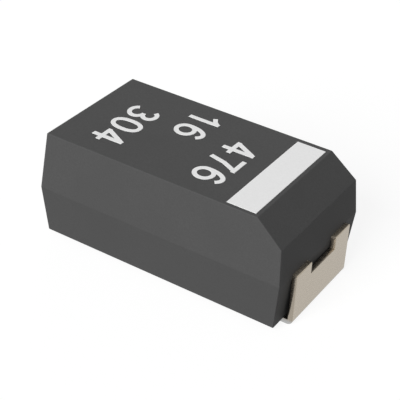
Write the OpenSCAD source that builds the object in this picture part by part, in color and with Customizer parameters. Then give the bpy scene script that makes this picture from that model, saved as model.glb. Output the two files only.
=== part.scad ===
// Moulded tantalum capacitor with formed leads, 6.0 x 3.2 x 2.5 mm overall.
// X runs along the case with the anode at +X, Z is up and the feet stand on z = 0.

/* [Case] */
// Length of the case at the parting plane
case_l = 5.78; // [4.8:0.02:7]
// Width of the case at the parting plane
case_w = 3.2; // [2.6:0.1:4]
// Height of the upper half, from the parting plane to the top face
upper_h = 1.29; // [1.05:0.01:1.8]
// Height of the lower half, from the parting plane to the underside
lower_h = 1.1; // [0.9:0.05:1.6]
// Draft angle of every wall
draft = 5; // [2:0.5:8]
// Run of the anode bevel, from the end of the case at the parting plane
bevel_run = 0.66; // [0.4:0.02:0.9]
// Drop of the anode bevel below the top face
bevel_drop = 0.5; // [0.3:0.02:0.7]
// Radius of every moulded edge but the parting line
edge_r = 0.02; // [0.02:0.01:0.08]
// Height of the straight land along the parting line
land_h = 0.01; // [0.01:0.01:0.04]

/* [Moulding Walls] */
// Least thickness of moulding over the pellet block
roof_t = 0.35; // [0.25:0.01:0.45]
// Least thickness of moulding under the cathode cradle
floor_t = 0.25; // [0.15:0.01:0.35]
// Thickness of moulding beside the pellet block, at the parting plane
side_t = 0.37; // [0.3:0.01:0.6]
// Thickness of moulding between the cathode step and the pellet block
back_t = 0.12; // [0.05:0.01:0.3]

/* [Glue Pad] */
// Height of the raised pad on the underside
pad_h = 0.04; // [0.02:0.01:0.08]
// Margin round the pad, to the tips of the feet and to the long edges
pad_margin = 0.3; // [0.1:0.05:0.5]

/* [Formed Leads] */
// Thickness of the lead strip
lead_t = 0.11; // [0.08:0.01:0.15]
// Width of the lead strip
lead_w = 2.2; // [1.8:0.05:2.6]
// Length of a foot, from the outer face of the riser to the tip
foot_l = 1.3; // [0.9:0.05:1.6]
// Inside radius of the bend between riser and foot
foot_bend_r = 0.02; // [0.01:0.01:0.1]
// Outside radius of the shoulder, coined square at the parting plane
shoulder_r = 0.02; // [0.01:0.01:0.06]
// Width of the cut-out that parts the top of the riser into two legs
notch_w = 1; // [0.6:0.05:1.4]
// Height of the bottom of the cut-out above the seating plane
notch_z = 0.93; // [0.5:0.01:1]
// Reach of the cut-out into the case, where the moulding locks the lead
lock_depth = 0.25; // [0.15:0.01:0.35]
// Length of full-width strip left inboard of the cut-out
lock_band = 0.1; // [0.05:0.01:0.2]

/* [Anode Tab] */
// Width of the tab that carries the riser wire
tab_w = 1; // [0.5:0.05:1.6]
// Length of the tab, inboard of the full-width strip
tab_l = 0.8; // [0.5:0.05:1]
// Length of wire welded along the tab
weld_l = 0.45; // [0.2:0.05:0.5]
// Depth to which the weld sinks the wire into the tab
weld_sink = 0.02; // [0.01:0.01:0.06]

/* [Cathode Cradle] */
// Inside radius of the two bends of the step
step_r = 0.05; // [0.02:0.01:0.1]
// Reach of the cradle under the pellet block, from the step's inner face
cradle_l = 2; // [0.8:0.05:2.6]
// Thickness of the silver adhesive on the cradle
adhesive_t = 0.03; // [0.02:0.01:0.08]
// Margin of bare cradle round the adhesive
adhesive_margin = 0.15; // [0.05:0.05:0.3]

/* [Anode] */
// Diameter of the riser wire
wire_d = 0.25; // [0.15:0.01:0.35]
// Depth of the wire inside the pellet
wire_embed = 2.2; // [1:0.1:2.4]
// Free length of wire between the washer and the tab
wire_gap = 0.33; // [0.1:0.01:0.5]
// Outer diameter of the insulating washer
washer_d = 0.9; // [0.5:0.05:1.2]
// Thickness of the insulating washer
washer_t = 0.12; // [0.06:0.01:0.2]
// Radius of the pellet's four long edges
pellet_r = 0.1; // [0.05:0.01:0.25]

/* [Pellet Coats] */
// Thickness of the manganese dioxide coat over the whole pellet
dioxide_t = 0.03; // [0.01:0.005:0.05]
// Thickness of the carbon coat
carbon_t = 0.02; // [0.01:0.005:0.05]
// Thickness of the silver coat
silver_t = 0.03; // [0.01:0.005:0.05]
// Bare band from the pellet's front face to the rim of the carbon coat
carbon_band = 0.15; // [0.05:0.01:0.3]
// Band of carbon left bare in front of the silver coat
silver_band = 0.1; // [0.05:0.01:0.3]

/* [Polarity Stripe] */
// Length of the stripe along the case
stripe_l = 0.65; // [0.3:0.01:1]
// Gap between the stripe and the edge of the bevel
stripe_gap = 0.08; // [0.05:0.01:0.3]
// Margin between the ends of the stripe and the long edges
stripe_margin = 0.09; // [0.05:0.01:0.4]
// Thickness of the printed ink
print_t = 0.01; // [0.005:0.001:0.02]

/* [Hidden] */
$fn = 48;
hull_fn = 24; // facets round the balls and discs of the case's hull
cut = 0.1; // how far a cut runs past the face it opens

// Levels: the foot is one strip thick and lies against the underside
underside_z = lead_t;
parting_z = underside_z + lower_h;
top_z = parting_z + upper_h;
wire_z = parting_z + wire_d / 2 - weld_sink;

// Half sizes of the case at the parting plane, and what the draft takes off them
end_x = case_l / 2;
side_y = case_w / 2;
function inset(z) = (abs(z - parting_z) - land_h / 2) * tan(draft);
top_inset = inset(top_z);
underside_inset = inset(underside_z);
bevel_x = end_x - bevel_run;
bevel_z = top_z - bevel_drop;

// Lengthwise section of the case, anticlockwise from above the land at the anode end
case_section = [
    [end_x, parting_z + land_h / 2],
    [end_x - inset(bevel_z), bevel_z],
    [bevel_x, top_z],
    [top_inset - end_x, top_z],
    [-end_x, parting_z + land_h / 2],
    [-end_x, parting_z - land_h / 2],
    [underside_inset - end_x, underside_z],
    [end_x - underside_inset, underside_z],
    [end_x, parting_z - land_h / 2]
];

// The riser stands against the case where the strip leaves it
riser_x = end_x + lead_t;
foot_tip_x = riser_x - foot_l;
strip_end_x = end_x - lock_depth - lock_band;

// Along the anode: case end, strip, tab, free wire, washer, pellet
tab_tip_x = strip_end_x - tab_l;
wire_tip_x = tab_tip_x + weld_l;
pellet_front_x = tab_tip_x - wire_gap - washer_t;

// Along the cathode: case end, strip, step, moulding, coats, pellet
coats_t = dioxide_t + carbon_t + silver_t;
step_x = strip_end_x - step_r - lead_t;
block_back_x = -step_x + back_t;
pellet_back_x = block_back_x + coats_t;

// The pellet is centred on its wire and takes the room that roof and floor leave
room_above = top_z - roof_t - coats_t - wire_z;
room_below = wire_z - coats_t - adhesive_t - lead_t - floor_t - underside_z;
pellet_w = case_w - 2 * (side_t + coats_t);
pellet_h = 2 * min(room_above, room_below);
block_bottom_z = wire_z - pellet_h / 2 - coats_t;
cradle_z = block_bottom_z - adhesive_t - lead_t;
cradle_tip_x = -step_x + cradle_l;

carbon_rim_x = pellet_front_x - carbon_band;
silver_rim_x = carbon_rim_x - silver_band;

// Centre of the circle of radius r that touches both sides of corner v, between a and b
function touching_centre(a, v, b, r) =
    let (u = (a - v) / norm(a - v), w = (b - v) / norm(b - v))
    v + (u + w) / norm(u + w) * r / sin(acos(u * w) / 2);

// Stands a section drawn in X and Z up, and gives it width w about the XZ plane
module across(w) {
    rotate([90, 0, 0]) linear_extrude(w, center = true) children();
}

// Turns a section drawn in Y and Z to run along X, from x0 to x1
module along(x0, x1) {
    translate([x0, 0, 0]) rotate([90, 0, 90]) linear_extrude(x1 - x0) children();
}

module bar(x0, x1, z0, z1) {
    translate([x0, z0]) square([x1 - x0, z1 - z0]);
}

// Quarter bend of the strip about a centre, starting at the given angle
module bend(x, z, r, angle) {
    translate([x, z]) rotate(angle) intersection() {
        difference() {
            circle(r + lead_t);
            circle(r);
        }
        square(r + lead_t);
    }
}

// Ball with a vertex at each pole, so that the top of the hull lies at its full height
module edge_ball() {
    step = 360 / hull_fn;
    rotate_extrude($fn = hull_fn)
        polygon([for (angle = [-90 : step : 90]) edge_r * [cos(angle), sin(angle)]]);
}

// Outer form of the moulding: drafted halves, the anode bevel and the glue pad.
// Discs hold the corners of the land, and balls hold every other corner
module case_blank() {
    count = len(case_section);
    hull() for (i = [0 : count - 1], side = [-1, 1]) {
        corner = case_section[i];
        if (abs(corner.x) == end_x) {
            translate([sign(corner.x) * (end_x - edge_r), side * (side_y - edge_r), parting_z])
                cylinder(h = land_h, r = edge_r, center = true, $fn = hull_fn);
        } else {
            before = case_section[(i + count - 1) % count];
            after = case_section[(i + 1) % count];
            ball = touching_centre(before, corner, after, edge_r);
            ball_y = side_y - inset(ball.y) - edge_r / cos(draft);
            translate([ball.x, side * ball_y, ball.y]) edge_ball();
        }
    }
    pad_x = foot_tip_x - pad_margin;
    pad_y = side_y - underside_inset - pad_margin;
    translate([-pad_x, -pad_y, underside_z - pad_h]) cube([2 * pad_x, 2 * pad_y, 2 * pad_h]);
}

// Side view of the strip at the +X end: foot, bend, riser, shoulder and the stretch inside
module strip_profile() {
    bend_x = end_x - foot_bend_r;
    bend_z = lead_t + foot_bend_r;
    bar(foot_tip_x, bend_x, 0, lead_t);
    bend(bend_x, bend_z, foot_bend_r, -90);
    bar(end_x, riser_x, bend_z, parting_z - shoulder_r);
    bar(strip_end_x, riser_x - shoulder_r, parting_z - lead_t, parting_z);
    translate([riser_x - shoulder_r, parting_z - shoulder_r]) circle(shoulder_r);
}

// Punched opening, from the riser's face into the case
module cut_out() {
    translate([end_x - lock_depth, -notch_w / 2, notch_z])
        cube([lock_depth + lead_t + cut, notch_w, parting_z - notch_z + cut]);
}

// Side view of the cathode's step and cradle, drawn at +X like the strip
module cradle_profile() {
    inner_x = step_x - step_r;
    bend(strip_end_x, parting_z - lead_t - step_r, step_r, 90);
    bar(step_x, step_x + lead_t, cradle_z + lead_t + step_r, parting_z - lead_t - step_r);
    bend(inner_x, cradle_z + lead_t + step_r, step_r, -90);
    bar(-cradle_tip_x, inner_x, cradle_z, cradle_z + lead_t);
}

// Pellet-shaped bar, grown by g all round and behind, ending at front_x
module block(g, front_x) {
    w = pellet_w + 2 * g;
    h = pellet_h + 2 * g;
    r = pellet_r + g;
    along(pellet_back_x - g, front_x) translate([0, wire_z]) {
        square([w - 2 * r, h], center = true);
        square([w, h - 2 * r], center = true);
        for (y = [-1, 1], z = [-1, 1])
            translate([y * (w / 2 - r), z * (h / 2 - r)]) circle(r);
    }
}

module washer_disc() {
    along(pellet_front_x, pellet_front_x + washer_t) translate([0, wire_z]) circle(d = washer_d);
}

module wire_rod() {
    along(pellet_front_x - wire_embed, wire_tip_x) translate([0, wire_z]) circle(d = wire_d);
}

// Transfer-moulded in one piece round everything inside, and locked through both cut-outs
module epoxy_case() {
    color("#4d4d4d") difference() {
        case_blank();
        anode_strip();
        cathode_strip();
        wire_rod();
        washer_disc();
        block(dioxide_t, pellet_front_x + dioxide_t);
        block(dioxide_t + carbon_t, carbon_rim_x);
        block(coats_t, silver_rim_x);
        adhesive_pad();
    }
}

module anode_strip() {
    difference() {
        union() {
            across(lead_w) strip_profile();
            across(tab_w) bar(tab_tip_x, strip_end_x + lock_band, parting_z - lead_t, parting_z);
        }
        cut_out();
        wire_rod();
    }
}

module cathode_strip() {
    mirror([1, 0, 0]) difference() {
        across(lead_w) {
            strip_profile();
            cradle_profile();
        }
        cut_out();
    }
}

module anode_lead() {
    color("#b0a99d") anode_strip();
}

module cathode_lead() {
    color("#b0a99d") cathode_strip();
}

// Pressed and sintered round the end of its wire
module tantalum_pellet() {
    color("#5a5f66") difference() {
        block(0, pellet_front_x);
        wire_rod();
    }
}

module riser_wire() {
    color("#8c9199") wire_rod();
}

module insulating_washer() {
    color("#f2f2ee") difference() {
        washer_disc();
        wire_rod();
    }
}

// Covers the pellet on every face up to the washer
module manganese_dioxide_coat() {
    color("#2b2624") difference() {
        block(dioxide_t, pellet_front_x + dioxide_t);
        block(0, pellet_front_x);
        washer_disc();
    }
}

module carbon_coat() {
    color("#1c1c1e") difference() {
        block(dioxide_t + carbon_t, carbon_rim_x);
        block(dioxide_t, pellet_front_x);
    }
}

module silver_coat() {
    color("#c9c9c6") difference() {
        block(coats_t, silver_rim_x);
        block(dioxide_t + carbon_t, carbon_rim_x);
    }
}

// Fills the flat part of the joint between the cradle and the silver coat
module adhesive_pad() {
    x0 = block_back_x + adhesive_margin;
    x1 = min(cradle_tip_x, silver_rim_x) - adhesive_margin;
    w = min(lead_w, pellet_w - 2 * pellet_r) - 2 * adhesive_margin;
    translate([x0, -w / 2, cradle_z + lead_t]) cube([x1 - x0, w, adhesive_t]);
}

module silver_adhesive() {
    color("#d8d6d0") adhesive_pad();
}

// White band beside the bevel that marks the positive end
module polarity_stripe() {
    w = 2 * (side_y - top_inset - stripe_margin);
    color("#e2e2e2") translate([bevel_x - stripe_gap - stripe_l, -w / 2, top_z])
        cube([stripe_l, w, print_t]);
}

epoxy_case();
anode_lead();
cathode_lead();
tantalum_pellet();
riser_wire();
insulating_washer();
manganese_dioxide_coat();
carbon_coat();
silver_coat();
silver_adhesive();
polarity_stripe();
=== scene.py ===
"""Looks for a moulded tantalum capacitor: matt epoxy case, tin-plated leads and white marking."""
import math

import bmesh
import bpy
from mathutils import Matrix, Vector

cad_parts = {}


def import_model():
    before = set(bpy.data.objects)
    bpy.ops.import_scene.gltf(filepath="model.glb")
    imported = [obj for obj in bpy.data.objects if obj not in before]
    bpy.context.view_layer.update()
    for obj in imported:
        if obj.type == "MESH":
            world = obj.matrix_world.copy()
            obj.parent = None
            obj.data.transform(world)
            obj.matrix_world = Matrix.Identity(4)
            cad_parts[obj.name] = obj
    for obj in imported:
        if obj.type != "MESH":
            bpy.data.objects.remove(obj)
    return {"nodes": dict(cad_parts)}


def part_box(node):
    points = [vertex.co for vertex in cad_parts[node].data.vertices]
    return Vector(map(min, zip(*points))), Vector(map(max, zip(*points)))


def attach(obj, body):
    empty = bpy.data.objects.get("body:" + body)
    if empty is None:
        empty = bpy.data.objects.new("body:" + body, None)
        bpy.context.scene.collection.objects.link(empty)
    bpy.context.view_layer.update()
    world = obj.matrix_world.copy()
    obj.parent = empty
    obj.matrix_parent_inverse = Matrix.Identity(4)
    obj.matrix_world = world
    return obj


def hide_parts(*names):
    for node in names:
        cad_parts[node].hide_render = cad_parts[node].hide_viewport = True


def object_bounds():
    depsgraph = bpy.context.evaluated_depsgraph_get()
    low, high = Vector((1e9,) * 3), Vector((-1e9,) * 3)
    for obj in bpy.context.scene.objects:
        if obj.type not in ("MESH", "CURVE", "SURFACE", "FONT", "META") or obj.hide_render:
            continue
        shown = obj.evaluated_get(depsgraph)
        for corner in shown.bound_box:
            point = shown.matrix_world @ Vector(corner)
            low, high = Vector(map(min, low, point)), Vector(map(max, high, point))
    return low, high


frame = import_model()
cad_low, cad_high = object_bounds()

MM = 0.001

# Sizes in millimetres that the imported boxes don't give
DRAFT = math.radians(5)
BEVEL_DROP = 0.5
LAND = 0.01
EDGE_RADIUS = 0.02
PAD_MARGIN = 0.3
PAD_EDGE = 0.01
FOOT_BEND = 0.02
SHOULDER = 0.02
NOTCH_WIDTH = 1.0
NOTCH_FLOOR = 0.93
LOCK_DEPTH = 0.25
LOCK_BAND = 0.1
TAB_WIDTH = 1.0
WELD_LENGTH = 0.45
STEP_BEND = 0.05
STRIPE_GAP = 0.08
PELLET_EDGE = 0.1
BURR = 0.006
SLIVER = 0.0005
SAME_POINT = 1e-6

# Steps of an arc: for a formed bend, for the inside of a bend, and for a quarter of a rod or a rounded bar
BEND_STEPS = 8
TIGHT_STEPS = 5
ROUND_STEPS = 12

# Edges that turn more than this stay sharp, and edges of the strip that turn more than this are broken
SHARP_ANGLE = math.radians(30)
BROKEN_ANGLE = math.radians(60)

# A face points along an axis when its normal has more than this share along it
ALONG = 0.7

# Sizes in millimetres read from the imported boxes
case_low, case_high = (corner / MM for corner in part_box("epoxy_case"))
lead_low, lead_high = (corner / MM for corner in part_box("anode_lead"))
pellet_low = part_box("tantalum_pellet")[0] / MM
wire_low, wire_high = (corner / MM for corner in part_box("riser_wire"))
END = case_high.x
SIDE = case_high.y
TOP = case_high.z
PAD_BOTTOM = case_low.z
RISER = lead_high.x
LEAD_SIDE = lead_high.y
PARTING = lead_high.z
FOOT_TIP = lead_low.x
STRIP = RISER - END
UNDERSIDE = STRIP
STRIP_END = END - LOCK_DEPTH - LOCK_BAND
TAB_TIP = wire_high.x - WELD_LENGTH
BEVEL_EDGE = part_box("polarity_stripe")[1].x / MM + STRIPE_GAP


def inset(z):
    """What the draft takes off a wall of the case at height z."""
    return max(0.0, abs(z - PARTING) - LAND / 2) * math.tan(DRAFT)


# ---------------------------------------------------------------- materials

def linear(hex_colour):
    """An sRGB hex colour as linear RGBA."""
    channels = [int(hex_colour[i:i + 2], 16) / 255 for i in (1, 3, 5)]
    return [c / 12.92 if c <= 0.04045 else ((c + 0.055) / 1.055) ** 2.4 for c in channels] + [1.0]


def add(tree, kind, inputs=None, **settings):
    """Adds a node: inputs take values or sockets by name or number, settings are its properties."""
    node = tree.nodes.new(kind)
    for name, value in settings.items():
        setattr(node, name, value)
    for key, value in (inputs or {}).items():
        if isinstance(value, bpy.types.NodeSocket):
            tree.links.new(value, node.inputs[key])
        else:
            node.inputs[key].default_value = value
    return node


def new_material(name):
    """An empty material, its tree and its coordinates in millimetres."""
    material = bpy.data.materials.new(name)
    material.use_nodes = True
    tree = material.node_tree
    tree.nodes.clear()
    place = add(tree, "ShaderNodeTexCoord").outputs["Object"]
    millimetres = add(tree, "ShaderNodeVectorMath", {0: place, "Scale": 1 / MM}, operation="SCALE").outputs[0]
    return material, tree, millimetres


def surface(tree, shader):
    """Ends the tree in one shader."""
    add(tree, "ShaderNodeOutputMaterial", {"Surface": shader.outputs[0]})


def grain(tree, place, size, detail=2.0):
    """Noise whose features are about size millimetres across."""
    return add(tree, "ShaderNodeTexNoise", {
        "Vector": place, "Scale": 1 / size, "Detail": detail}).outputs["Fac"]


def ramp(tree, factor, low, high, low_value=0.0, high_value=1.0):
    """Maps a factor from low..high to low_value..high_value, held at both ends."""
    return add(tree, "ShaderNodeMapRange", {
        "Value": factor, "From Min": low, "From Max": high, "To Min": low_value, "To Max": high_value,
    }).outputs[0]


def blend_colours(tree, factor, first, second):
    """Mixes two colours, each a hex string or a socket."""
    mix = add(tree, "ShaderNodeMix", {0: factor}, data_type="RGBA")
    for socket, colour in ((mix.inputs[6], first), (mix.inputs[7], second)):
        if isinstance(colour, str):
            socket.default_value = linear(colour)
        else:
            tree.links.new(colour, socket)
    return mix.outputs[2]


def moulded_epoxy():
    """Silica-filled epoxy moulding compound: matt dark grey with fine filler specks."""
    material, tree, place = new_material("moulded_epoxy")
    # Filler grains run to about 0.035 mm, and flow marks to about 1 mm
    filler = grain(tree, place, 0.035, 3.0)
    flow = grain(tree, place, 0.9)
    colour = blend_colours(tree, ramp(tree, filler, 0.3, 0.7), "#4b4b4b", "#505050")
    colour = blend_colours(tree, ramp(tree, flow, 0.35, 0.65, 0.0, 0.35), colour, "#4a4a4a")
    # Painted shade: the lower half of the case is painted a shade darker than the upper
    height = add(tree, "ShaderNodeSeparateXYZ", {0: place}).outputs["Z"]
    painted_lower_shade = ramp(tree, height, PARTING - LAND, PARTING + LAND, 0.3, 0.0)
    colour = blend_colours(tree, painted_lower_shade, colour, "#464646")
    bump = add(tree, "ShaderNodeBump", {"Height": filler, "Strength": 0.25, "Distance": 0.002 * MM})
    shader = add(tree, "ShaderNodeBsdfPrincipled", {
        "Base Color": colour, "Roughness": 0.62, "Specular IOR Level": 0.1, "Normal": bump.outputs[0]})
    surface(tree, shader)
    return material


def tin_plate():
    """Matt tin electroplated on rolled nickel-iron strip, bare where the punch sheared it."""
    material, tree, place = new_material("tin_plate")
    # Tin crystals are a few micrometres, drawn at 0.06 mm so that they show
    crystals = grain(tree, place, 0.06)
    colour = blend_colours(tree, ramp(tree, crystals, 0.3, 0.7), "#aaa090", "#aea495")
    sheared = add(tree, "ShaderNodeAttribute", attribute_name="sheared").outputs["Fac"]
    colour = blend_colours(tree, sheared, colour, "#a1988b")
    # Painted reflection: the foot and its bend are painted paler and more neutral than the riser
    height = add(tree, "ShaderNodeSeparateXYZ", {0: place}).outputs["Z"]
    painted_foot_reflection = ramp(tree, height, STRIP / 2, STRIP + FOOT_BEND, 1.0, 0.0)
    colour = blend_colours(tree, painted_foot_reflection, colour, "#b4b4b3")
    # Rolling lines run along the strip, so they only vary across its width
    across = add(tree, "ShaderNodeMapping", {"Vector": place, "Scale": (0.12, 1.0, 0.12)}).outputs[0]
    rolling = grain(tree, across, 0.02, 3.0)
    bump = add(tree, "ShaderNodeBump", {"Height": rolling, "Strength": 0.03, "Distance": 0.0005 * MM})
    roughness = ramp(tree, crystals, 0.3, 0.7, 0.24, 0.3)
    # The side walls of the cut-out are rougher than the rolled faces
    punched = add(tree, "ShaderNodeAttribute", attribute_name="punched").outputs["Fac"]
    roughness = add(tree, "ShaderNodeMix", {0: punched, 2: roughness, 3: 0.45}).outputs[0]
    shader = add(tree, "ShaderNodeBsdfPrincipled", {
        "Base Color": colour, "Metallic": 1.0, "Roughness": roughness, "Normal": bump.outputs[0]})
    surface(tree, shader)
    return material


def white_marking():
    """Matt white marking, fired on by laser, slightly broken by the texture below."""
    material, tree, place = new_material("white_marking")
    flecks = grain(tree, place, 0.04)
    colour = blend_colours(tree, ramp(tree, flecks, 0.3, 0.7), "#f2f2f2", "#f6f6f6")
    shader = add(tree, "ShaderNodeBsdfPrincipled", {
        "Base Color": colour, "Roughness": 0.7, "Specular IOR Level": 0.2})
    surface(tree, shader)
    return material


def sintered_tantalum():
    """Tantalum powder pressed and sintered: dull blue-grey metal, open between its grains, with painted shade
    in the pores.
    """
    material, tree, place = new_material("sintered_tantalum")
    # Powder grains are about 0.01 mm, drawn at 0.02 mm so that they show
    grains = add(tree, "ShaderNodeTexVoronoi", {"Vector": place, "Scale": 1 / 0.02}).outputs["Distance"]
    # Painted shade: darker between the grains, where the pores are
    colour = blend_colours(tree, ramp(tree, grains, 0.1, 0.8), "#83888f", "#565b62")
    bump = add(tree, "ShaderNodeBump", {"Height": grains, "Strength": 0.6, "Distance": -0.006 * MM})
    shader = add(tree, "ShaderNodeBsdfPrincipled", {
        "Base Color": colour, "Metallic": 1.0, "Roughness": 0.6, "Normal": bump.outputs[0]})
    surface(tree, shader)
    return material


def drawn_tantalum():
    """Tantalum wire as drawn through a die: grey-blue metal with fine lines along it."""
    material, tree, place = new_material("drawn_tantalum")
    # Die lines are 0.01 mm apart round the wire and many times as long
    along = add(tree, "ShaderNodeMapping", {"Vector": place, "Scale": (0.03, 1.0, 1.0)}).outputs[0]
    lines = grain(tree, along, 0.01)
    colour = blend_colours(tree, ramp(tree, lines, 0.3, 0.7), "#8d9299", "#9ca1a8")
    bump = add(tree, "ShaderNodeBump", {"Height": lines, "Strength": 0.2, "Distance": 0.001 * MM})
    shader = add(tree, "ShaderNodeBsdfPrincipled", {
        "Base Color": colour, "Metallic": 1.0, "Roughness": 0.32, "Normal": bump.outputs[0]})
    surface(tree, shader)
    return material


def skived_ptfe():
    """PTFE washer punched from skived film: waxy white that lets some light in."""
    material, tree, place = new_material("skived_ptfe")
    # Skiving leaves faint waves about 0.1 mm apart
    waves = grain(tree, place, 0.1)
    colour = blend_colours(tree, ramp(tree, waves, 0.3, 0.7), "#ecece8", "#f5f5f1")
    shader = add(tree, "ShaderNodeBsdfPrincipled", {
        "Base Color": colour, "Roughness": 0.45, "IOR": 1.35, "Subsurface Weight": 0.3,
        "Subsurface Radius": (0.1 * MM, 0.1 * MM, 0.1 * MM), "Subsurface Scale": 1.0})
    surface(tree, shader)
    return material


def fired_dioxide():
    """Manganese dioxide fired on from nitrate in many dips: brown-black with a crusty, grainy skin."""
    material, tree, place = new_material("fired_dioxide")
    # Crust lumps are about 0.05 mm, over crystals of about 0.01 mm
    lumps = grain(tree, place, 0.05, 5.0)
    colour = blend_colours(tree, ramp(tree, lumps, 0.3, 0.7), "#241f1c", "#3a332e")
    bump = add(tree, "ShaderNodeBump", {"Height": lumps, "Strength": 0.7, "Distance": 0.008 * MM})
    shader = add(tree, "ShaderNodeBsdfPrincipled", {
        "Base Color": colour, "Roughness": 0.75, "Specular IOR Level": 0.4, "Normal": bump.outputs[0]})
    surface(tree, shader)
    return material


def dipped_graphite():
    """Graphite laid down from a water dip: soft black with a slight pencil-lead sheen."""
    material, tree, place = new_material("dipped_graphite")
    # Flakes are about 0.02 mm across and lie flat
    flakes = add(tree, "ShaderNodeTexVoronoi", {"Vector": place, "Scale": 1 / 0.02}).outputs["Color"]
    tone = add(tree, "ShaderNodeSeparateColor", {0: flakes}).outputs[0]
    colour = blend_colours(tree, tone, "#1b1b1d", "#2b2b2e")
    roughness = ramp(tree, tone, 0.0, 1.0, 0.42, 0.58)
    shader = add(tree, "ShaderNodeBsdfPrincipled", {
        "Base Color": colour, "Metallic": 0.3, "Roughness": roughness})
    surface(tree, shader)
    return material


def silver_paint(name, flake, low, high, roughness):
    """Silver flakes in resin: pale grey, satin where they lie flat and duller where resin covers them."""
    material, tree, place = new_material(name)
    patches = grain(tree, place, flake, 3.0)
    colour = blend_colours(tree, ramp(tree, patches, 0.3, 0.7), low, high)
    bump = add(tree, "ShaderNodeBump", {"Height": patches, "Strength": 0.3, "Distance": 0.003 * MM})
    shader = add(tree, "ShaderNodeBsdfPrincipled", {
        "Base Color": colour, "Metallic": 0.85, "Roughness": roughness, "Normal": bump.outputs[0]})
    surface(tree, shader)
    return material


EPOXY = moulded_epoxy()
TIN = tin_plate()
WHITE = white_marking()

# What each part left as the model has it is made of; silver flakes are 0.02 mm in the dip and 0.03 mm in
# the thicker adhesive
NODE_MATERIALS = {
    "tantalum_pellet": sintered_tantalum(),
    "riser_wire": drawn_tantalum(),
    "insulating_washer": skived_ptfe(),
    "manganese_dioxide_coat": fired_dioxide(),
    "carbon_coat": dipped_graphite(),
    "silver_coat": silver_paint("dipped_silver_paint", 0.02, "#bdbdb9", "#cfcfcb", 0.42),
    "silver_adhesive": silver_paint("silver_filled_epoxy", 0.03, "#b5b3ad", "#cac8c2", 0.5),
}


# ---------------------------------------------------------------- meshes

def mesh_object(name, work, material):
    """Turns a bmesh in millimetres into an object in metres, at the origin."""
    bmesh.ops.scale(work, vec=(MM, MM, MM), verts=work.verts)
    mesh = bpy.data.meshes.new(name)
    work.to_mesh(mesh)
    work.free()
    thing = bpy.data.objects.new(name, mesh)
    bpy.context.scene.collection.objects.link(thing)
    mesh.materials.append(material)
    return thing


def applied(thing):
    """Applies an object's modifiers to its mesh."""
    graph = bpy.context.evaluated_depsgraph_get()
    mesh = bpy.data.meshes.new_from_object(thing.evaluated_get(graph), preserve_all_data_layers=True,
                                           depsgraph=graph)
    old = thing.data
    thing.modifiers.clear()
    thing.data = mesh
    bpy.data.meshes.remove(old)
    mesh.name = thing.name
    return mesh


def welded(mesh):
    """Closes up the slivers that cuts leave, far too small to see."""
    work = bmesh.new()
    work.from_mesh(mesh)
    bmesh.ops.remove_doubles(work, verts=work.verts, dist=SLIVER * MM)
    bmesh.ops.dissolve_degenerate(work, edges=work.edges, dist=SLIVER * MM)
    work.to_mesh(mesh)
    work.free()
    return mesh


def finished(thing):
    """Applies the modifiers, then smooths the rounds and keeps corners sharp and flat faces flat."""
    mesh = welded(applied(thing))
    mesh.shade_smooth()
    mesh.set_sharp_from_angle(angle=SHARP_ANGLE)
    thing.modifiers.new("flat_faces", "WEIGHTED_NORMAL").keep_sharp = True
    applied(thing)
    return thing


def cut_by(thing, cutter, operation="DIFFERENCE"):
    """Applies a boolean with a cutter, which is an object or a bmesh in millimetres."""
    tool = cutter if isinstance(cutter, bpy.types.Object) else mesh_object("cutter", cutter, EPOXY)
    modifier = thing.modifiers.new("cut", "BOOLEAN")
    modifier.operation = operation
    modifier.solver = "EXACT"
    modifier.object = tool
    applied(thing)
    bpy.data.meshes.remove(tool.data)


def arc(x, z, radius, start, end, steps=BEND_STEPS):
    """Points along an arc in X and Z, in degrees."""
    angles = [math.radians(start + (end - start) * i / steps) for i in range(steps + 1)]
    return [(x + radius * math.cos(a), z + radius * math.sin(a)) for a in angles]


def box_outline(x0, x1, z0, z1):
    """The four corners of a rectangle."""
    return [(x0, z0), (x1, z0), (x1, z1), (x0, z1)]


def prism(outline, low, high, axes="xzy"):
    """A bmesh of a closed outline in the first two axes, drawn out from low to high along the third."""
    order = [axes.index(axis) for axis in "xyz"]
    work = bmesh.new()
    near, far = ([work.verts.new([(a, b, along)[i] for i in order]) for a, b in outline]
                 for along in (low, high))
    work.faces.new(near)
    work.faces.new(list(reversed(far)))
    for i in range(len(outline)):
        j = (i + 1) % len(outline)
        work.faces.new((near[i], far[i], far[j], near[j]))
    bmesh.ops.recalc_face_normals(work, faces=work.faces)
    return work


def room_of(name, radius):
    """The room that a part takes: a bar along X with rounded edges, or a rod if radius is half its width."""
    low, high = (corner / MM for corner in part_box(name))
    middle = (low.z + high.z) / 2
    flat_y = max(high.y - radius, 0)
    flat_z = max(high.z - middle - radius, 0)
    outline = []
    for y, z, start in ((1, 1, 0), (-1, 1, 90), (-1, -1, 180), (1, -1, 270)):
        outline += arc(y * flat_y, middle + z * flat_z, radius, start, start + 90, ROUND_STEPS)
    following = outline[1:] + outline[:1]
    outline = [point for point, after in zip(outline, following) if math.dist(point, after) > SAME_POINT]
    return prism(outline, low.x, high.x, "yzx")


# ---------------------------------------------------------------- case

def cradle_points(start):
    """Side view of the cathode strip from start inwards, drawn at +X: the step down and the cradle."""
    step = STRIP_END - STEP_BEND - STRIP
    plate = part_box("silver_adhesive")[0].z / MM - STRIP
    tip = -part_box("cathode_lead")[1].x / MM
    upper = PARTING - STRIP - STEP_BEND
    lower = plate + STRIP + STEP_BEND
    return ([(start, PARTING)] + arc(STRIP_END, upper, STRIP + STEP_BEND, 90, 180)
            + arc(step - STEP_BEND, lower, STEP_BEND, 0, -90, TIGHT_STEPS)
            + [(tip, plate + STRIP), (tip, plate)]
            + arc(step - STEP_BEND, lower, STRIP + STEP_BEND, -90, 0)
            + arc(STRIP_END, upper, STEP_BEND, 180, 90, TIGHT_STEPS) + [(start, PARTING - STRIP)])


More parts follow.
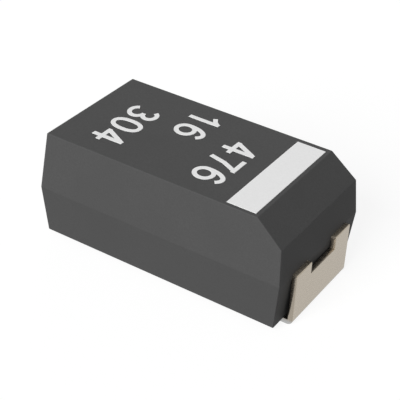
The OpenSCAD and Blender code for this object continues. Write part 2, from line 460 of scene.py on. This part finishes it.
def case_block():
    """The two drafted halves, which meet at a straight land, with the bevel at the anode end."""
    bevel_z = TOP - BEVEL_DROP
    section = [
        (END, PARTING + LAND / 2), (END - inset(bevel_z), bevel_z), (BEVEL_EDGE, TOP),
        (inset(TOP) - END, TOP), (-END, PARTING + LAND / 2), (-END, PARTING - LAND / 2),
        (inset(UNDERSIDE) - END, UNDERSIDE), (END - inset(UNDERSIDE), UNDERSIDE), (END, PARTING - LAND / 2)]
    work = bmesh.new()
    near, far = ([work.verts.new((x, side * (SIDE - inset(z)), z)) for x, z in section] for side in (-1, 1))
    for i in range(len(section)):
        j = (i + 1) % len(section)
        work.faces.new((near[i], far[i], far[j], near[j]))
    for loop in ((0, 1, 2, 3, 4), (0, 4, 5, 8), (5, 6, 7, 8)):
        work.faces.new([near[i] for i in reversed(loop)])
        work.faces.new([far[i] for i in loop])
    bmesh.ops.recalc_face_normals(work, faces=work.faces)
    # One radius on every edge: where the faces meet at a blunter angle, it takes less width
    weights = work.edges.layers.float.new("bevel_weight_edge")
    for edge in work.edges:
        low, high = sorted(v.co.z for v in edge.verts)
        on_land = abs(low - PARTING) < LAND and high - low < LAND / 2
        edge[weights] = 0.0 if on_land else math.tan(edge.calc_face_angle() / 2)
    return work


def glue_pad():
    """The raised pad under the case, which a spot of board adhesive reaches."""
    length = 2 * (FOOT_TIP - PAD_MARGIN)
    width = 2 * (SIDE - inset(UNDERSIDE) - PAD_MARGIN)
    height = 2 * (UNDERSIDE - PAD_BOTTOM)
    work = bmesh.new()
    bmesh.ops.create_cube(work, size=1)
    bmesh.ops.scale(work, vec=(length, width, height), verts=work.verts)
    bmesh.ops.translate(work, vec=(0, 0, PAD_BOTTOM + height / 2), verts=work.verts)
    bmesh.ops.bevel(work, geom=work.edges[:], offset=PAD_EDGE, segments=3, profile=0.5, affect="EDGES")
    return work


def strip_room(tip, half_width):
    """The flat strip inside the case seen from above, without the cut-out, and a narrower end up to tip."""
    outside = END + STRIP
    locked = END - LOCK_DEPTH
    half_notch = NOTCH_WIDTH / 2
    side = [(tip, half_width)]
    if half_width < LEAD_SIDE:
        side += [(STRIP_END, half_width), (STRIP_END, LEAD_SIDE)]
    side += [(outside, LEAD_SIDE), (outside, half_notch), (locked, half_notch)]
    return side + [(x, -y) for x, y in reversed(side)]


def turned(outline):
    """The same outline at the other end of the case."""
    return [(-a, b) for a, b in outline]


def inner_rooms():
    """What the pellet, its wire and the leads take up inside the case: bars and plates that overlap."""
    rooms = []
    for name in ("silver_coat", "carbon_coat", "manganese_dioxide_coat"):
        coat = pellet_low.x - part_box(name)[0].x / MM
        rooms.append(room_of(name, PELLET_EDGE + coat))
    for name in ("insulating_washer", "riser_wire"):
        low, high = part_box(name)
        rooms.append(room_of(name, (high.y - low.y) / 2 / MM))
    anode_strip = strip_room(TAB_TIP, TAB_WIDTH / 2)
    rooms.append(prism(anode_strip, PARTING - STRIP, PARTING, "xyz"))
    low, high = (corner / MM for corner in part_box("silver_adhesive"))
    joint = box_outline(low.x, high.x, low.z - STRIP / 2, high.z + STRIP / 2)
    rooms.append(prism(joint, low.y, high.y))
    cradle = turned(cradle_points(STRIP_END + LOCK_BAND / 2))
    rooms.append(prism(cradle, -LEAD_SIDE, LEAD_SIDE))
    cathode_strip = turned(strip_room(STRIP_END, LEAD_SIDE))
    rooms.append(prism(cathode_strip, PARTING - STRIP, PARTING, "xyz"))
    return rooms


def hollow_out(case):
    """Cuts the room that everything inside takes, all in one, so that no wall is left between."""
    first, *others = inner_rooms()
    room = mesh_object("room", first, EPOXY)
    for other in others:
        cut_by(room, other, "UNION")
    cut_by(case, room)


def case_piece():
    """The moulded case, with its edges rounded and the room inside cut out."""
    case = mesh_object("moulded_case", case_block(), EPOXY)
    bevel = case.modifiers.new("edges", "BEVEL")
    bevel.limit_method = "WEIGHT"
    bevel.width = EDGE_RADIUS * MM
    bevel.segments = 5
    bevel.use_clamp_overlap = False
    applied(case)
    cut_by(case, glue_pad(), "UNION")
    hollow_out(case)
    return finished(case)


case = case_piece()
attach(case, "root")
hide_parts("epoxy_case")


# ---------------------------------------------------------------- leads

def lead_outline(inner_end):
    """Side view of a formed lead at the +X end; inner_end holds its points inside the case."""
    bend_x = END - FOOT_BEND
    bend_z = STRIP + FOOT_BEND
    outer = arc(bend_x, bend_z, STRIP + FOOT_BEND, -90, 0)
    shoulder = arc(RISER - SHOULDER, PARTING - SHOULDER, SHOULDER, 0, 90, TIGHT_STEPS)
    inner = arc(bend_x, bend_z, FOOT_BEND, 0, -90, TIGHT_STEPS)
    return ([(FOOT_TIP, 0)] + outer + shoulder + inner_end + [(END, PARTING - STRIP)] + inner
            + [(FOOT_TIP, STRIP)])


def lead_piece(name, inner_end, has_tab=False):
    """A formed lead with its cut-out and its slightly broken edges, and a grooved tab for the wire."""
    lead = mesh_object(name, prism(lead_outline(inner_end), -LEAD_SIDE, LEAD_SIDE), TIN)
    if has_tab:
        tab = box_outline(TAB_TIP, STRIP_END + LOCK_BAND, PARTING - STRIP, PARTING)
        cut_by(lead, prism(tab, -TAB_WIDTH / 2, TAB_WIDTH / 2), "UNION")
    opening = box_outline(END - LOCK_DEPTH, RISER + STRIP, NOTCH_FLOOR, PARTING + STRIP)
    cut_by(lead, prism(opening, -NOTCH_WIDTH / 2, NOTCH_WIDTH / 2))
    bevel = lead.modifiers.new("edges", "BEVEL")
    bevel.width = BURR * MM
    bevel.segments = 2
    bevel.angle_limit = BROKEN_ANGLE
    applied(lead)
    if has_tab:
        cut_by(lead, room_of("riser_wire", (wire_high.y - wire_low.y) / 2))
    finished(lead)
    mark_sheared(lead.data)
    return lead


def mark_sheared(mesh):
    """Marks what was sheared, which is the sides, the cut-out and the tip, and the walls of the cut-out."""
    mesh.attributes.new("sheared", "FLOAT", "FACE")
    mesh.attributes.new("punched", "FLOAT", "FACE")
    marks = zip(mesh.attributes["sheared"].data, mesh.attributes["punched"].data)
    for face, (sheared, punched) in zip(mesh.polygons, marks):
        place = face.center / MM
        side = abs(face.normal.y) > ALONG
        at_floor = abs(place.z - NOTCH_FLOOR) < BURR and abs(place.y) < NOTCH_WIDTH / 2
        floor = face.normal.z > ALONG and at_floor
        tip = face.normal.x < -ALONG and abs(place.x - FOOT_TIP) < BURR
        wall = side and abs(place.y) < NOTCH_WIDTH / 2 + BURR
        sheared.value = 1.0 if side or floor or tip else 0.0
        punched.value = 1.0 if wall else 0.0


anode = lead_piece("anode_terminal", [(STRIP_END, PARTING), (STRIP_END, PARTING - STRIP)], has_tab=True)
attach(anode, "root")
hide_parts("anode_lead")


cathode = lead_piece("cathode_terminal", cradle_points(STRIP_END + LOCK_BAND))
cathode.data.transform(Matrix.Scale(-1, 4, (1, 0, 0)))
cathode.data.flip_normals()
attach(cathode, "root")
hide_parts("cathode_lead")


# ---------------------------------------------------------------- marking

# Digits in millimetres: cap height, width, thickness of the stroke and pitch along a row, then how far ink
# stands up and sinks in, and what the stripe stops short by
CAP = 0.73
DIGIT = 0.47
STROKE = 0.1
PITCH = 0.58
INK = 0.008
INK_SINK = 0.002
STRIPE_SHORT = 0.047

# Half a stroke, in shares of the height and of the width between the middles of the outer strokes
HALF_V = STROKE / 2 / (CAP - STROKE)
HALF_U = STROKE / 2 / (DIGIT - STROKE)

# Each row of digits: X of its baseline, Y of its first digit's middle, and its digits
ROWS = [
    (0.36, 0.357, "476"),
    (-0.855, 0.937, "16"),
    (-2.05, 0.357, "304"),
]


def oval(u, v, ru, rv, start=0.0, end=360.0, steps=28, power=2.0):
    """Points round an oval, in degrees; a power over 2 makes it squarer."""
    points = []
    for i in range(steps + 1):
        angle = math.radians(start + (end - start) * i / steps)
        c, s = math.cos(angle), math.sin(angle)
        points.append((u + ru * math.copysign(abs(c) ** (2 / power), c),
                       v + rv * math.copysign(abs(s) ** (2 / power), s)))
    return points


# The middle of each stroke, in a box one wide and one high
STROKES = {
    "0": [oval(0.5, 0.5, 0.5, 0.5, power=2.3)],
    "1": [[(0.62, -HALF_V), (0.62, 1 + HALF_V)], [(0.62, 1.0), (0.42, 0.86), (0.08, 0.74)]],
    "3": [oval(0.47, 0.765, 0.43, 0.235, 158, -90), oval(0.47, 0.265, 0.5, 0.265, 90, -158)],
    "4": [[(0.7, -HALF_V), (0.7, 1 + HALF_V)], [(-HALF_U, 0.27), (1 + HALF_U, 0.27)],
          [(0.69, 1.03), (-0.03, 0.25)]],
    "6": [oval(0.5, 0.31, 0.5, 0.31), oval(0.58, 0.34, 0.58, 0.66, 180, 52, 14)],
    "7": [[(-HALF_U, 1.0), (1 + HALF_U, 1.0)], [(0.99, 1.03), (0.55, 0.5), (0.33, -HALF_V)]],
}


def stroke_tree():
    """Lays a flat stroke of ink along each path and joins the strokes of a digit into one skin."""
    tree = bpy.data.node_groups.new("ink_strokes", "GeometryNodeTree")
    tree.interface.new_socket(name="Paths", in_out="INPUT", socket_type="NodeSocketGeometry")
    for name, kind in (("Stroke Width", "NodeSocketFloat"), ("Ink Height", "NodeSocketFloat"),
                       ("Ink", "NodeSocketMaterial")):
        tree.interface.new_socket(name=name, in_out="INPUT", socket_type=kind)
    tree.interface.new_socket(name="Marking", in_out="OUTPUT", socket_type="NodeSocketGeometry")
    given = add(tree, "NodeGroupInput").outputs
    path = add(tree, "GeometryNodeMeshToCurve", {0: given["Paths"]}).outputs[0]
    path = add(tree, "GeometryNodeSetCurveNormal", {0: path}, mode="Z_UP").outputs[0]
    section = add(tree, "GeometryNodeCurvePrimitiveQuadrilateral", {
        "Width": given["Stroke Width"], "Height": given["Ink Height"]}).outputs[0]
    strokes = add(tree, "GeometryNodeCurveToMesh", {
        "Curve": path, "Profile Curve": section, "Fill Caps": True}).outputs[0]
    joined = add(tree, "GeometryNodeMeshBoolean", {
        "Mesh 2": strokes, "Self Intersection": True}, operation="UNION", solver="EXACT").outputs[0]
    real = add(tree, "GeometryNodeRealizeInstances", {0: joined}).outputs[0]
    inked = add(tree, "GeometryNodeSetMaterial", {"Geometry": real, "Material": given["Ink"]}).outputs[0]
    add(tree, "NodeGroupOutput", {0: inked})
    return tree


def marking_piece():
    """Plain numbers on the top face, each row read from the anode end's left."""
    work = bmesh.new()
    for base_x, first_y, digits in ROWS:
        for i, digit in enumerate(digits):
            for points in STROKES[digit]:
                closed = math.dist(points[0], points[-1]) < SAME_POINT
                verts = [work.verts.new((
                    base_x + STROKE / 2 + v * (CAP - STROKE),
                    first_y - i * PITCH - (u - 0.5) * (DIGIT - STROKE),
                    TOP - INK_SINK + INK / 2 + INK_SINK / 2,
                )) for u, v in (points[:-1] if closed else points)]
                for a, b in zip(verts, verts[1:] + (verts[:1] if closed else [])):
                    work.edges.new((a, b))
    marking = mesh_object("value_marking", work, WHITE)
    tree = stroke_tree()
    modifier = marking.modifiers.new("strokes", "NODES")
    modifier.node_group = tree
    sizes = {"Stroke Width": STROKE * MM, "Ink Height": (INK + INK_SINK) * MM, "Ink": WHITE}
    for item in tree.interface.items_tree:
        if item.name in sizes:
            modifier[item.identifier] = sizes[item.name]
    welded(applied(marking)).shade_flat()
    return marking


marking = marking_piece()
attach(marking, "root")


def stripe_piece():
    """The anode stripe, with its far end a little short of the model's."""
    low, high = (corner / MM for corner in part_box("polarity_stripe"))
    outline = box_outline(low.x, high.x, low.y, high.y - STRIPE_SHORT)
    stripe = mesh_object("anode_stripe", prism(outline, low.z - INK_SINK, high.z, "xyz"), WHITE)
    stripe.data.shade_flat()
    return stripe


stripe = stripe_piece()
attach(stripe, "root")
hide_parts("polarity_stripe")

for name, material in NODE_MATERIALS.items():
    mesh = frame["nodes"][name].data
    mesh.materials.clear()
    mesh.materials.append(material)


# ---------------------------------------------------------------- stage

# Half the floor's width in millimetres
FLOOR_HALF = 400

# Strength of the floor's own glow as the eye sees it, and of the fill from all round
FLOOR_GLOW = 0.87
FILL = 0.25

# Camera: angles in degrees, what it looks at and how far off it is in millimetres, and its lens
AZIMUTH = 31.489
ELEVATION = 33.894
ROLL = 3.089
TARGET = (0.0545, -0.0016, 1.2056)
DISTANCE = 24.776
LENS = 107.0


def seen_by_eye(tree):
    """One for camera, glossy and transmission rays, and nought for the rest."""
    path = add(tree, "ShaderNodeLightPath").outputs
    seen = add(tree, "ShaderNodeMath", {0: path["Is Camera Ray"], 1: path["Is Glossy Ray"]},
               operation="MAXIMUM").outputs[0]
    return add(tree, "ShaderNodeMath", {0: seen, 1: path["Is Transmission Ray"]},
               operation="MAXIMUM").outputs[0]


def floor_material():
    """Pale floor that shows as white and keeps a light shadow."""
    material, tree, _ = new_material("pale_floor")
    plain = add(tree, "ShaderNodeBsdfDiffuse", {"Color": linear("#909090")})
    shown = add(tree, "ShaderNodeBsdfDiffuse", {"Color": linear("#737373")})
    glow = add(tree, "ShaderNodeEmission", {"Color": linear("#ffffff"), "Strength": FLOOR_GLOW})
    lifted = add(tree, "ShaderNodeAddShader", {0: shown.outputs[0], 1: glow.outputs[0]})
    mix = add(tree, "ShaderNodeMixShader", {0: seen_by_eye(tree), 1: plain.outputs[0], 2: lifted.outputs[0]})
    surface(tree, mix)
    return material


def stage():
    """The floor, at the height where the feet stand."""
    work = bmesh.new()
    bmesh.ops.create_grid(work, x_segments=1, y_segments=1, size=FLOOR_HALF)
    bmesh.ops.translate(work, vec=(0, 0, cad_low.z / MM), verts=work.verts)
    mesh_object("floor", work, floor_material())


def world():
    """White surroundings to the eye, and a weaker fill for everything else."""
    scene_world = bpy.data.worlds.new("studio")
    scene_world.use_nodes = True
    tree = scene_world.node_tree
    tree.nodes.clear()
    white = add(tree, "ShaderNodeBackground", {"Color": linear("#ffffff"), "Strength": 1.0})
    fill = add(tree, "ShaderNodeBackground", {"Color": linear("#ffffff"), "Strength": FILL})
    mix = add(tree, "ShaderNodeMixShader", {0: seen_by_eye(tree), 1: fill.outputs[0], 2: white.outputs[0]})
    add(tree, "ShaderNodeOutputWorld", {"Surface": mix.outputs[0]})
    bpy.context.scene.world = scene_world


def softbox(name, direction, distance, size, irradiance, mirrored=True):
    """A square lamp that gives the stated irradiance, over pi, where it faces the part."""
    lamp = bpy.data.lights.new(name, "AREA")
    lamp.shape = "SQUARE"
    lamp.size = size
    lamp.energy = irradiance * (math.pi * distance) ** 2
    thing = bpy.data.objects.new(name, lamp)
    bpy.context.scene.collection.objects.link(thing)
    towards = Vector(direction).normalized()
    thing.location = towards * distance
    thing.visible_glossy = mirrored
    thing.rotation_euler = (-towards).to_track_quat("-Z", "Y").to_euler()


def camera():
    """The view: from above and in front of the anode end, slightly tilted."""
    azimuth, elevation, roll = (math.radians(angle) for angle in (AZIMUTH, ELEVATION, ROLL))
    target = Vector(TARGET) * MM
    back = Vector((math.cos(elevation) * math.sin(azimuth), -math.cos(elevation) * math.cos(azimuth),
                   math.sin(elevation)))
    data = bpy.data.cameras.new("camera")
    data.lens = LENS
    data.clip_start = 0.001
    thing = bpy.data.objects.new("camera", data)
    bpy.context.scene.collection.objects.link(thing)
    turn = (-back).to_track_quat("-Z", "Y").to_matrix().to_4x4()
    place = Matrix.Translation(target + back * DISTANCE * MM)
    thing.matrix_world = place @ turn @ Matrix.Rotation(roll, 4, "Z")
    bpy.context.scene.camera = thing


stage()
world()
softbox("key", (-0.064, -0.858, 0.509), 1.0, 0.6, 1.175)
softbox("back", (-0.5, 0.86, 0.06), 1.0, 0.3, 0.5, mirrored=False)
camera()
bpy.context.scene.view_settings.view_transform = "Standard"
